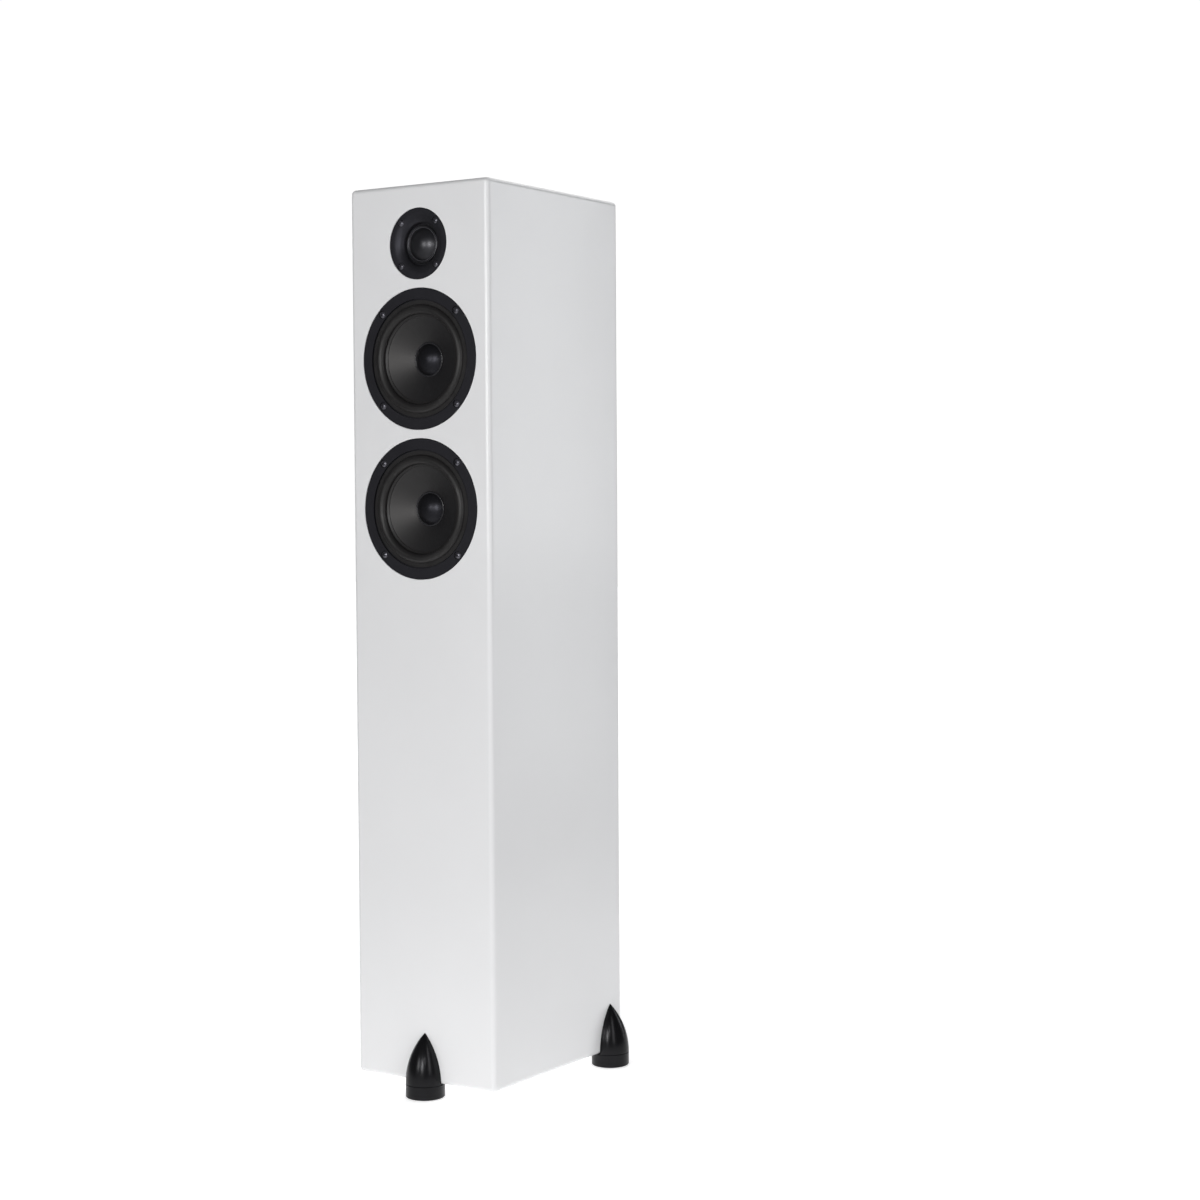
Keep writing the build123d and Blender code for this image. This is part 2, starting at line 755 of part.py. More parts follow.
def build_nodes():
    block = cabinet_block()
    feet = foot_places()
    nodes = {
        "front_baffle": front_baffle(block),
        "rear_panel": rear_panel(block),
        "left_side_panel": side_panel(block, -1),
        "right_side_panel": side_panel(block, 1),
        "top_panel": top_panel(block),
        "bottom_panel": bottom_panel(block),
        "window_braces": window_braces(),
        "damping_felt": damping_felt(),
        "driver_gaskets": driver_gaskets(),
        "driver_terminals": driver_terminals(),
        "woofer_screws": woofer_screws(),
        "tweeter_screws": tweeter_screws(),
        "port_tube": port_tube(),
        "terminal_plate": terminal_plate(),
        "terminal_plate_screws": terminal_plate_screws(),
        "post_collars": post_collars(),
        "binding_post_studs": binding_post_studs(),
        "positive_washer": clamp_washer(1),
        "negative_washer": clamp_washer(-1),
        "positive_knob": post_knob(1),
        "negative_knob": post_knob(-1),
        "crossover_board": crossover_board(),
        "crossover_fixings": crossover_fixings(),
        "crossover_inductors": crossover_inductors(),
        "crossover_capacitors": crossover_capacitors(),
        "crossover_resistor": crossover_resistor(),
        "tweeter_lead": driver_lead(36, 49.6, TWEETER_Z),
        "woofer_leads": woofer_leads(),
        "input_leads": input_leads(),
        "front_foot": feet["front"] * claw_foot(),
        "left_rear_foot": feet["left"] * claw_foot(),
        "right_rear_foot": feet["right"] * claw_foot(),
        "foot_bolts": foot_bolt_group(),
        "foot_pads": foot_pads(),
    }
    tweeter = {
        "faceplate": tweeter_faceplate(),
        "surround": tweeter_surround(),
        "dome": tweeter_dome(),
        "voice_coil": tweeter_voice_coil(),
        "top_plate": tweeter_top_plate(),
        "magnet": tweeter_magnet(),
        "yoke": tweeter_yoke(),
        "rear_cup": tweeter_rear_cup(),
    }
    woofer = {
        "basket": woofer_basket(),
        "surround": woofer_surround(),
        "cone": woofer_cone(),
        "dust_cap": woofer_dust_cap(),
        "spider": woofer_spider(),
        "voice_coil": woofer_voice_coil(),
        "top_plate": woofer_top_plate(),
        "magnet": woofer_magnet(),
        "yoke": woofer_yoke(),
    }
    for name, shape in tweeter.items():
        nodes["tweeter_" + name] = on_baffle(shape, TWEETER_Z)
    for name, shape in woofer.items():
        nodes["upper_woofer_" + name] = on_baffle(shape, UPPER_WOOFER_Z)
        nodes["lower_woofer_" + name] = on_baffle(shape, LOWER_WOOFER_Z)
    return nodes


os.makedirs("parts", exist_ok=True)
for node_name, node_shape in build_nodes().items():
    export_step(node_shape, "parts/" + node_name + ".step")
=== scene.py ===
import math

import bmesh
import bpy
from mathutils import Matrix, Vector
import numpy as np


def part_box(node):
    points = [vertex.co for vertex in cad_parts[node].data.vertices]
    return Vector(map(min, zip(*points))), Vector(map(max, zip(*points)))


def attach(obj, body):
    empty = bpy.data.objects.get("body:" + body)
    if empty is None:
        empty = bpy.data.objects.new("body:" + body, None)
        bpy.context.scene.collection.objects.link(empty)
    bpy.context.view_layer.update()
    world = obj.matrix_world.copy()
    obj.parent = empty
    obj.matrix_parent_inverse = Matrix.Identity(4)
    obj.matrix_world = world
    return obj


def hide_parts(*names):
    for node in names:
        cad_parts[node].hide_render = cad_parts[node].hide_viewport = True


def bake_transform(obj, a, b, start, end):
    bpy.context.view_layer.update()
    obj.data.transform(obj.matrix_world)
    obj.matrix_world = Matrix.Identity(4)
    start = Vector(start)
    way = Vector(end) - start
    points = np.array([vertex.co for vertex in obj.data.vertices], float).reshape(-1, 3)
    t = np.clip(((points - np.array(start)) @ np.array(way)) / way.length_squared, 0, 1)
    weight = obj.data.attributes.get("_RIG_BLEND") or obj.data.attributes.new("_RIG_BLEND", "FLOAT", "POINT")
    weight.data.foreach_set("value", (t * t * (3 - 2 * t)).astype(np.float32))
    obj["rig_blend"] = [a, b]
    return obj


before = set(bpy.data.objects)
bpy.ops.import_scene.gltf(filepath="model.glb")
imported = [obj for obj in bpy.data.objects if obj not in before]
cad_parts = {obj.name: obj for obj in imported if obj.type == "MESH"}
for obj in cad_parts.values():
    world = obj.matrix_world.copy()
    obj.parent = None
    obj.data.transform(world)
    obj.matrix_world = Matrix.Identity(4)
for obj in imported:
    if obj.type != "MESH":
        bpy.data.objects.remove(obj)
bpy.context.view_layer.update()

# Looks of a slim white floorstanding speaker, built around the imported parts.
# Lengths are in metres. Lathe profiles, bump distances and names ending in _MM are in millimetres.

MM = 0.001
EDGE_R = 5 * MM
WALL = 18 * MM
RECESS_GAP = 0.25 * MM
WOOFER_RECESS_DEPTH = 6 * MM
WOOFER_HOLE_R = 61.5 * MM
TWEETER_RECESS_DEPTH = 5 * MM
TWEETER_HOLE_R = 27.5 * MM
PORT_HOLE_R = 31.5 * MM
PORT_RECESS_DEPTH = 3 * MM
TERMINAL_WINDOW = 54 * MM
OVERCUT_MM = 4
TINY = 1e-6
SHARP_FROM = math.radians(35)

# Inner and outer radius between which each flexible ring bends.
WOOFER_ROLL_MM = (44.6, 54.3)
WOOFER_SPIDER_MM = (20.0, 36.0)
TWEETER_ROLL_MM = (16.75, 19.3)

WOOFERS = ("upper_woofer", "lower_woofer")

# Faint blue in the reflections of black parts.
COOL = (0.86, 0.86, 1.0)


def box_centre(node):
    low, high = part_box(node)
    return (low + high) / 2


def box_size(node):
    low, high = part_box(node)
    return high - low


CAB_LOW = Vector((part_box("left_side_panel")[0].x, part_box("front_baffle")[0].y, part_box("bottom_panel")[0].z))
CAB_HIGH = Vector((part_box("right_side_panel")[1].x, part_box("rear_panel")[1].y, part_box("top_panel")[1].z))
CAB_MID = (CAB_LOW + CAB_HIGH) / 2
CAB_SIZE = CAB_HIGH - CAB_LOW


# ---------------------------------------------------------------- meshes


def new_object(name, mesh, material):
    mesh.materials.append(material)
    obj = bpy.data.objects.new(name, mesh)
    bpy.context.scene.collection.objects.link(obj)
    return obj


def facing(centre, direction):
    """Matrix from a local frame, +Z towards the viewer of that side, to the shared frame."""
    axes = {
        "front": ((1, 0, 0), (0, 0, 1), (0, -1, 0)),
        "rear": ((-1, 0, 0), (0, 0, 1), (0, 1, 0)),
        "left": ((0, -1, 0), (0, 0, 1), (-1, 0, 0)),
        "right": ((0, 1, 0), (0, 0, 1), (1, 0, 0)),
        "top": ((1, 0, 0), (0, 1, 0), (0, 0, 1)),
        "bottom": ((-1, 0, 0), (0, 1, 0), (0, 0, -1)),
    }[direction]
    turn = Matrix([Vector(axis) for axis in axes]).transposed()
    return Matrix.Translation(centre) @ turn.to_4x4()


def arc(centre, radii, start_deg, end_deg, steps):
    points = []
    for k in range(steps + 1):
        a = math.radians(start_deg + (end_deg - start_deg) * k / steps)
        points.append((centre[0] + radii[0] * math.cos(a), centre[1] + radii[1] * math.sin(a)))
    return points


def lathe(name, profile, place, material, segments=160, closed=True):
    """Turn a (radius, height) profile in millimetres about the local Z axis."""
    mesh = bpy.data.meshes.new(name)
    bm = bmesh.new()
    rings = []
    for r, h in profile:
        if r < TINY:
            rings.append([bm.verts.new((0, 0, h * MM))])
            continue
        ring = []
        for k in range(segments):
            a = math.tau * k / segments
            ring.append(bm.verts.new((r * MM * math.cos(a), r * MM * math.sin(a), h * MM)))
        rings.append(ring)
    count = len(rings) if closed else len(rings) - 1
    for i in range(count):
        join_rings(bm, rings[i], rings[(i + 1) % len(rings)], segments)
    bmesh.ops.recalc_face_normals(bm, faces=bm.faces)
    bm.transform(place)
    bm.to_mesh(mesh)
    bm.free()
    mesh.shade_smooth()
    mesh.set_sharp_from_angle(angle=SHARP_FROM)
    return new_object(name, mesh, material)


def join_rings(bm, a, b, segments):
    if len(a) == 1 and len(b) == 1:
        return
    for k in range(segments):
        n = (k + 1) % segments
        if len(a) == 1:
            bm.faces.new((a[0], b[k], b[n]))
        elif len(b) == 1:
            bm.faces.new((a[k], b[0], a[n]))
        else:
            bm.faces.new((a[k], b[k], b[n], a[n]))


def panel_loops(half_w, half_h):
    """Loops of a mitred board from the flat face round half the edge radius to the inside."""
    steps = 12
    corner_steps = 6
    loops = []
    for k in range(steps + 1):
        t = math.tan(math.radians(45 * k / steps))
        flat_w = half_w - EDGE_R
        flat_h = half_h - EDGE_R
        loop = []
        for sx, sy in ((1, 1), (-1, 1), (-1, -1), (1, -1)):
            corner = []
            for c in range(2 * corner_steps + 1):
                u = min(1.0, 2 - c / corner_steps)
                v = min(1.0, c / corner_steps)
                length = math.sqrt(t * t * (u * u + v * v) + 1)
                x = sx * (flat_w + EDGE_R * t * u / length)
                y = sy * (flat_h + EDGE_R * t * v / length)
                z = EDGE_R / length - EDGE_R
                corner.append((x, y, z))
            if sx * sy < 0:
                corner.reverse()
            loop += corner
        loops.append(loop)
    mitre = []
    for sx, sy in ((1, 1), (-1, 1), (-1, -1), (1, -1)):
        mitre += [(sx * (half_w - WALL), sy * (half_h - WALL), -WALL)] * (2 * corner_steps + 1)
    loops.append(mitre)
    return loops


def mitred_panel(name, direction, width, height, centre, material):
    """One lacquered board with its share of the rounded edges."""
    mesh = bpy.data.meshes.new(name)
    bm = bmesh.new()
    loops = [[bm.verts.new(p) for p in loop] for loop in panel_loops(width / 2, height / 2)]
    bm.faces.new(loops[0])
    for a, b in zip(loops, loops[1:]):
        for k in range(len(a)):
            n = (k + 1) % len(a)
            bm.faces.new((a[k], b[k], b[n], a[n]))
    bm.faces.new(list(reversed(loops[-1])))
    bmesh.ops.remove_doubles(bm, verts=bm.verts, dist=TINY)
    bmesh.ops.dissolve_degenerate(bm, edges=bm.edges, dist=TINY)
    bmesh.ops.recalc_face_normals(bm, faces=bm.faces)
    bm.transform(facing(centre, direction))
    bm.to_mesh(mesh)
    bm.free()
    return new_object(name, mesh, material)


def stepped_hole(centre, direction, recess_r, recess_depth, hole_r):
    """Solid to cut away for a flush-mounted round part."""
    depth = WALL / MM + OVERCUT_MM
    profile = [
        (0, OVERCUT_MM),
        (recess_r / MM, OVERCUT_MM),
        (recess_r / MM, -recess_depth / MM),
        (hole_r / MM, -recess_depth / MM),
        (hole_r / MM, -depth),
        (0, -depth),
    ]
    plain = bpy.data.materials.new("cutter")
    return lathe("cutter", profile, facing(centre, direction), plain, segments=256, closed=False)


def cut(obj, cutter):
    """Subtract the cutter and delete it."""
    modifier = obj.modifiers.new("cut", "BOOLEAN")
    modifier.operation = "DIFFERENCE"
    modifier.solver = "EXACT"
    modifier.object = cutter
    apply_modifiers(obj)
    bpy.data.objects.remove(cutter)


def apply_modifiers(obj):
    bpy.context.view_layer.update()
    graph = bpy.context.evaluated_depsgraph_get()
    mesh = bpy.data.meshes.new_from_object(obj.evaluated_get(graph))
    obj.modifiers.clear()
    obj.data = mesh


def soft_shade(obj):
    """Smooth shading that keeps flat faces flat beside the rounded edges."""
    obj.data.shade_smooth()
    obj.data.set_sharp_from_angle(angle=SHARP_FROM)
    weighted = obj.modifiers.new("flat faces", "WEIGHTED_NORMAL")
    weighted.keep_sharp = True
    weighted.weight = 100
    apply_modifiers(obj)


# ---------------------------------------------------------------- materials


class Look:
    """A Principled material with small helpers for its procedural detail."""

    def __init__(self, name, roughness, metallic=0.0, specular=0.5, tint=(1, 1, 1)):
        self.material = bpy.data.materials.new(name)
        self.material.use_nodes = True
        self.nodes = self.material.node_tree.nodes
        self.links = self.material.node_tree.links
        self.shader = self.nodes["Principled BSDF"]
        self.shader.inputs["Roughness"].default_value = roughness
        self.shader.inputs["Metallic"].default_value = metallic
        self.shader.inputs["Specular IOR Level"].default_value = specular
        self.shader.inputs["Specular Tint"].default_value = (*tint, 1)
        self.place = self.nodes.new("ShaderNodeTexCoord").outputs["Object"]
        self.height = None

    def stretched(self, scale):
        mapping = self.nodes.new("ShaderNodeMapping")
        mapping.inputs["Scale"].default_value = scale
        self.links.new(self.place, mapping.inputs["Vector"])
        return mapping.outputs["Vector"]

    def noise(self, scale, detail=3.0, vector=None, roughness=0.5):
        node = self.nodes.new("ShaderNodeTexNoise")
        node.inputs["Scale"].default_value = scale
        node.inputs["Detail"].default_value = detail
        node.inputs["Roughness"].default_value = roughness
        self.links.new(vector or self.place, node.inputs["Vector"])
        return node.outputs["Fac"]

    def cells(self, scale):
        node = self.nodes.new("ShaderNodeTexVoronoi")
        node.inputs["Scale"].default_value = scale
        self.links.new(self.place, node.inputs["Vector"])
        return node.outputs["Distance"]

    def wave(self, scale, direction, distortion=0.0):
        node = self.nodes.new("ShaderNodeTexWave")
        node.wave_type = "BANDS"
        node.bands_direction = direction
        node.inputs["Scale"].default_value = scale
        node.inputs["Distortion"].default_value = distortion
        self.links.new(self.place, node.inputs["Vector"])
        return node.outputs["Fac"]

    def math(self, operation, a, b):
        node = self.nodes.new("ShaderNodeMath")
        node.operation = operation
        for socket, value in zip(node.inputs, (a, b)):
            if isinstance(value, (int, float)):
                socket.default_value = value
            else:
                self.links.new(value, socket)
        return node.outputs["Value"]

    def vector_math(self, operation, a, b):
        node = self.nodes.new("ShaderNodeVectorMath")
        node.operation = operation
        self.links.new(a, node.inputs[0])
        node.inputs[1].default_value = b
        return node

    def ramp(self, factor, low, high, start=0.3, end=0.7):
        node = self.nodes.new("ShaderNodeMapRange")
        node.inputs["From Min"].default_value = start
        node.inputs["From Max"].default_value = end
        node.inputs["To Min"].default_value = low
        node.inputs["To Max"].default_value = high
        self.links.new(factor, node.inputs["Value"])
        return node.outputs["Result"]

    def colours(self, factor, low, high, start=0.3, end=0.7):
        node = self.nodes.new("ShaderNodeValToRGB")
        node.color_ramp.elements[0].position = start
        node.color_ramp.elements[0].color = (*low, 1)
        node.color_ramp.elements[1].position = end
        node.color_ramp.elements[1].color = (*high, 1)
        self.links.new(factor, node.inputs["Fac"])
        self.links.new(node.outputs["Color"], self.shader.inputs["Base Color"])
        return self

    def rough(self, factor, low, high):
        self.links.new(self.ramp(factor, low, high), self.shader.inputs["Roughness"])
        return self

    def bump(self, height, distance_mm, strength=1.0):
        node = self.nodes.new("ShaderNodeBump")
        node.inputs["Strength"].default_value = strength
        node.inputs["Distance"].default_value = distance_mm * MM
        self.links.new(height, node.inputs["Height"])
        if self.height:
            self.links.new(self.height, node.inputs["Normal"])
        self.height = node.outputs["Normal"]
        self.links.new(self.height, self.shader.inputs["Normal"])
        return self

    def coat(self, weight, roughness):
        self.shader.inputs["Coat Weight"].default_value = weight
        self.shader.inputs["Coat Roughness"].default_value = roughness
        return self

    def sheen(self, weight, roughness):
        self.shader.inputs["Sheen Weight"].default_value = weight
        self.shader.inputs["Sheen Roughness"].default_value = roughness
        return self


def grey(value):
    """Neutral grey with the slight coolness of black and steel parts."""
    return (value, value * 0.98, value * 1.12)


def lacquer():
    """Satin white paint: faint orange peel and slow changes in gloss."""
    look = Look("lacquer_white", 0.34, specular=0.22)
    drift = look.noise(6, 2)
    look.colours(drift, (0.77, 0.77, 0.775), (0.795, 0.795, 0.80))
    look.rough(look.noise(35, 3), 0.31, 0.37)
    look.bump(look.noise(420, 2), 0.004, 0.4)
    return look.coat(0.65, 0.24).material


def powder_coat():
    """Matt dark coat on cast metal, with a fine grain."""
    look = Look("basket_powder_coat", 0.5, specular=0.26, tint=COOL)
    look.colours(look.noise(1800, 2), grey(0.007), grey(0.014))
    look.rough(look.noise(90, 3), 0.44, 0.56)
    look.bump(look.cells(2200), 0.03, 0.5)
    return look.bump(look.noise(60, 3), 0.02, 0.3).material


def surround_rubber():
    look = Look("surround_rubber", 0.45, specular=0.35)
    look.colours(look.noise(40, 4), (0.009, 0.0082, 0.0082), (0.014, 0.013, 0.013))
    look.rough(look.noise(150, 3), 0.36, 0.5)
    return look.bump(look.noise(900, 3), 0.015, 0.4).material


def cone_pulp():
    """Coated pulp: short pressed fibres under a thin satin coat."""
    look = Look("cone_coated_pulp", 0.42, specular=0.55, tint=(1.0, 0.97, 0.95))
    fibres = look.noise(700, 5, roughness=0.7)
    look.colours(fibres, grey(0.004), grey(0.009))
    look.rough(fibres, 0.44, 0.54)
    look.bump(fibres, 0.05, 0.5)
    return look.bump(look.noise(120, 2), 0.05, 0.3).material


def cap_pulp():
    look = Look("dust_cap_coated", 0.34, specular=0.3, tint=COOL)
    fibres = look.noise(900, 5, roughness=0.7)
    look.colours(fibres, grey(0.003), grey(0.007))
    look.rough(fibres, 0.3, 0.4)
    return look.bump(fibres, 0.03, 0.4).material


def cap_glue():
    """Half-clear bead of dried glue."""
    look = Look("dust_cap_glue", 0.3, specular=0.4)
    look.colours(look.noise(300, 3), grey(0.012), grey(0.024))
    look.rough(look.noise(200, 2), 0.22, 0.36)
    return look.bump(look.noise(500, 2), 0.06, 0.6).material


def dome_cloth():
    """Fine woven dome soaked in a glossy damping coat."""
    look = Look("dome_coated_cloth", 0.3, specular=0.3, tint=COOL)
    weave = look.math("MULTIPLY", look.wave(1100, "X"), look.wave(1100, "Z"))
    look.colours(look.noise(500, 2), grey(0.003), grey(0.007))
    look.rough(look.noise(200, 3), 0.34, 0.4)
    look.bump(weave, 0.0015, 0.15)
    return look.coat(0.6, 0.3).material


def rim_adhesive_painted_highlight():
    """Bead of clear-coated adhesive at the dome's rim; its grey, far lighter than the dome, is partly a painted
    highlight ring.
    """
    look = Look("dome_rim_adhesive_painted_highlight", 0.35, specular=0.8)
    # Painted highlight: this light grey makes the rim show as a bright ring, beyond what the glossy bead itself
    # reflects.
    look.colours(look.noise(400, 2), grey(0.05), grey(0.07))
    look.rough(look.noise(250, 2), 0.3, 0.38)
    return look.bump(look.noise(700, 2), 0.004, 0.3).material


def faceplate_plastic():
    look = Look("faceplate_moulded", 0.42, specular=0.36, tint=COOL)
    look.colours(look.noise(800, 2), grey(0.006), grey(0.012))
    look.rough(look.noise(70, 3), 0.38, 0.48)
    return look.bump(look.cells(1700), 0.015, 0.4).material


def port_plastic():
    look = Look("port_plastic", 0.52)
    look.colours(look.noise(300, 3), grey(0.016), grey(0.024))
    look.rough(look.noise(80, 3), 0.4, 0.52)
    return look.bump(look.cells(1500), 0.02, 0.4).material


def black_steel():
    """Blackened steel with rubbed edges."""
    look = Look("black_oxide_steel", 0.34, metallic=0.85)
    look.colours(look.noise(400, 4), grey(0.08), grey(0.15))
    look.rough(look.noise(500, 3), 0.22, 0.34)
    return look.bump(look.noise(1500, 2), 0.008, 0.4).material


def foot_satin():
    """Satin black lacquer on turned metal."""
    look = Look("foot_satin_black", 0.3, specular=0.06, tint=COOL)
    look.colours(look.noise(60, 3), grey(0.003), grey(0.0045))
    look.rough(look.noise(120, 3), 0.24, 0.27)
    look.bump(look.wave(900, "Z", 0.4), 0.002, 0.3)
    return look.coat(0.3, 0.24).material


def metal(name, low, high, rough_low, rough_high):
    """Bare or plated metal with fine finishing marks."""
    look = Look(name, rough_high, metallic=1.0)
    marks = look.noise(500, 4, roughness=0.6)
    look.colours(marks, low, high)
    look.rough(marks, rough_low, rough_high)
    return look.bump(marks, 0.008, 0.4).material


def anodised_plate():
    look = Look("plate_black_anodised", 0.34, metallic=0.9)
    brushed = look.noise(700, 4, look.stretched((0.03, 1, 1)), 0.7)
    look.colours(brushed, grey(0.02), grey(0.045))
    look.rough(brushed, 0.3, 0.42)
    return look.bump(brushed, 0.01, 0.5).material


def knob_plastic(name, low, high):
    look = Look(name, 0.22)
    look.colours(look.noise(60, 2), low, high)
    look.rough(look.noise(200, 2), 0.18, 0.28)
    look.bump(look.noise(1200, 2), 0.006, 0.3)
    return look.coat(0.3, 0.1).material


def fibreboard():
    look = Look("fibreboard", 0.85)
    fibres = look.noise(450, 5, look.stretched((1, 1, 0.35)), 0.75)
    look.colours(fibres, (0.30, 0.19, 0.10), (0.47, 0.33, 0.20))
    return look.bump(fibres, 0.12, 0.6).material


def felt():
    look = Look("felt_wadding", 0.95)
    tangle = look.noise(350, 6, roughness=0.8)
    look.colours(tangle, grey(0.08), grey(0.22))
    look.bump(tangle, 0.6, 0.8)
    return look.sheen(0.4, 0.5).material


def spider_cloth():
    look = Look("spider_cloth", 0.85)
    weave = look.math("MULTIPLY", look.wave(420, "X"), look.wave(420, "Z"))
    look.colours(weave, (0.36, 0.22, 0.07), (0.58, 0.40, 0.16), 0.0, 0.8)
    return look.bump(weave, 0.15, 0.7).material


def copper_winding():
    look = Look("copper_winding", 0.3, metallic=0.9)
    turns = look.wave(260, "Y", 0.3)
    look.colours(turns, (0.30, 0.10, 0.04), (0.72, 0.32, 0.16), 0.0, 0.9)
    return look.bump(turns, 0.2, 0.8).material


def ferrite():
    look = Look("ferrite", 0.7)
    look.colours(look.noise(600, 5), grey(0.03), grey(0.06))
    return look.bump(look.noise(900, 4), 0.05, 0.5).material


def circuit_board():
    look = Look("board_laminate", 0.4)
    tracks = look.cells(90)
    look.colours(tracks, (0.02, 0.12, 0.05), (0.05, 0.22, 0.10), 0.35, 0.45)
    return look.bump(look.wave(500, "X"), 0.02, 0.3).material


def capacitor_wrap():
    look = Look("capacitor_wrap", 0.25)
    look.colours(look.noise(120, 2), (0.02, 0.04, 0.22), (0.03, 0.06, 0.30))
    look.rough(look.noise(300, 2), 0.18, 0.3)
    return look.bump(look.wave(300, "Z", 1.0), 0.03, 0.3).material


def cement():
    look = Look("resistor_cement", 0.8)
    look.colours(look.noise(700, 5), (0.62, 0.60, 0.55), (0.80, 0.78, 0.72))
    return look.bump(look.noise(900, 4), 0.08, 0.6).material


def foam_rubber(name, value):
    look = Look(name, 0.85)
    look.colours(look.noise(900, 3), grey(value * 0.7), grey(value * 1.4))
    return look.bump(look.cells(1300), 0.08, 0.6).material


def lead_jacket():
    look = Look("lead_jacket", 0.45)
    look.colours(look.noise(200, 3), grey(0.012), grey(0.022))
    look.rough(look.noise(150, 2), 0.38, 0.5)
    return look.bump(look.noise(700, 3), 0.02, 0.3).material


# ---------------------------------------------------------------- cabinet


def cabinet_panels(material):
    """The six boards again, with finely rounded edges and round cut-outs."""
    w, d, h = CAB_SIZE
    boards = {
        "front_baffle": ("front", w, h, Vector((CAB_MID.x, CAB_LOW.y, CAB_MID.z))),
        "rear_panel": ("rear", w, h, Vector((CAB_MID.x, CAB_HIGH.y, CAB_MID.z))),
        "left_side_panel": ("left", d, h, Vector((CAB_LOW.x, CAB_MID.y, CAB_MID.z))),
        "right_side_panel": ("right", d, h, Vector((CAB_HIGH.x, CAB_MID.y, CAB_MID.z))),
        "top_panel": ("top", w, d, Vector((CAB_MID.x, CAB_MID.y, CAB_HIGH.z))),
        "bottom_panel": ("bottom", w, d, Vector((CAB_MID.x, CAB_MID.y, CAB_LOW.z))),
    }
    for node, (direction, width, height, centre) in boards.items():
        panel = mitred_panel(node + "_lacquered", direction, width, height, centre, material)
        if node == "front_baffle":
            cut_driver_openings(panel)
        if node == "rear_panel":
            cut_rear_openings(panel)
        soft_shade(panel)
        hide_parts(node)
        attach(panel, "cabinet")


def cut_driver_openings(panel):
    for name in WOOFERS:
        place = box_centre(name + "_basket")
        place.y = CAB_LOW.y
        recess_r = box_size(name + "_basket").x / 2 + RECESS_GAP
        cut(panel, stepped_hole(place, "front", recess_r, WOOFER_RECESS_DEPTH, WOOFER_HOLE_R))
    place = box_centre("tweeter_faceplate")
    place.y = CAB_LOW.y
    recess_r = box_size("tweeter_faceplate").x / 2 + RECESS_GAP
    cut(panel, stepped_hole(place, "front", recess_r, TWEETER_RECESS_DEPTH, TWEETER_HOLE_R))


def cut_rear_openings(panel):
    place = box_centre("port_tube")
    place.y = CAB_HIGH.y
    recess_r = box_size("port_tube").x / 2 + RECESS_GAP
    cut(panel, stepped_hole(place, "rear", recess_r, PORT_RECESS_DEPTH, PORT_HOLE_R))
    place = box_centre("terminal_plate")
    place.y = CAB_HIGH.y
    window = bmesh.new()
    bmesh.ops.create_cube(window, size=TERMINAL_WINDOW)
    window.transform(facing(place, "rear"))
    mesh = bpy.data.meshes.new("window")
    window.to_mesh(mesh)
    window.free()
    cut(panel, new_object("window", mesh, bpy.data.materials.new("cutter")))


# ---------------------------------------------------------------- details on the drivers


def bead(name, node, profile, body, material):
    """Thin turned bead centred on a driver's node and riding its diaphragm."""
    centre = box_centre(node)
    centre.y = CAB_LOW.y
    ring = lathe(name, profile, facing(centre, "front"), material)
    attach(ring, body)


def glue_bead(name, material):
    """Glue round the dust cap, just proud of the cone."""
    profile = [(15.75, -16.35)] + arc((16.6, -16.35), (0.95, 0.75), 160, 10, 10) + [(17.6, -16.75)]
    bead(name + "_glue_bead", name + "_dust_cap", profile, name + "_diaphragm", material)


def tweeter_rim():
    """Smooth rim where the dome meets its surround, in a light grey that paints a highlight ring."""
    profile = arc((16.55, -7.66), (0.3, 0.42), 200, -20, 12)
    bead("tweeter_rim_bead", "tweeter_dome", profile, "tweeter_diaphragm", rim_adhesive_painted_highlight())


def flexing_ring(name, diaphragm, radii_mm, material):
    """Flexible ring: its inner edge follows the diaphragm and its outer rim stays on the frame."""
    inner_r, outer_r = radii_mm
    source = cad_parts[name]
    mesh = source.data.copy()
    mesh.transform(source.matrix_world)
    mesh.materials.clear()
    ring = new_object(name + "_flexing", mesh, material)
    centre = box_centre(name)
    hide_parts(name)
    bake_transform(ring, "cabinet", diaphragm, centre, centre + Vector((0, 0, MM)))
    shares = []
    for vertex in mesh.vertices:
        r = math.hypot(vertex.co.x - centre.x, vertex.co.z - centre.z) / MM
        share = min(1.0, max(0.0, (outer_r - r) / (outer_r - inner_r)))
        shares.append(share * share * (3 - 2 * share))
    mesh.attributes["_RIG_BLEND"].data.foreach_set("value", shares)


# ---------------------------------------------------------------- carried-over nodes


def dress(nodes, material):
    """Give CAD nodes a procedural material."""
    for name in nodes:
        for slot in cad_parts[name].material_slots:
            slot.material = material


def dress_drivers():
    powder = powder_coat()
    rubber = surround_rubber()
    pulp = cone_pulp()
    cap = cap_pulp()
    glue = cap_glue()
    cloth = dome_cloth()
    spider = spider_cloth()
    copper = copper_winding()
    steel = metal("motor_steel", grey(0.30), grey(0.45), 0.3, 0.45)
    magnet = ferrite()
    for name in WOOFERS:
        dress([name + "_basket"], powder)
        flexing_ring(name + "_surround", name + "_diaphragm", WOOFER_ROLL_MM, rubber)
        dress([name + "_cone"], pulp)
        dress([name + "_dust_cap"], cap)
        flexing_ring(name + "_spider", name + "_diaphragm", WOOFER_SPIDER_MM, spider)
        dress([name + "_voice_coil"], copper)
        dress([name + "_top_plate", name + "_yoke"], steel)
        dress([name + "_magnet"], magnet)
        glue_bead(name, glue)
    dress(["tweeter_faceplate"], faceplate_plastic())
    dress(["tweeter_dome"], cloth)
    tweeter_rim()
    flexing_ring("tweeter_surround", "tweeter_diaphragm", TWEETER_ROLL_MM, cloth)
    dress(["tweeter_voice_coil"], copper)
    dress(["tweeter_top_plate", "tweeter_yoke"], steel)
    dress(["tweeter_magnet"], magnet)
    dress(["driver_gaskets"], foam_rubber("gasket_foam", 0.03))


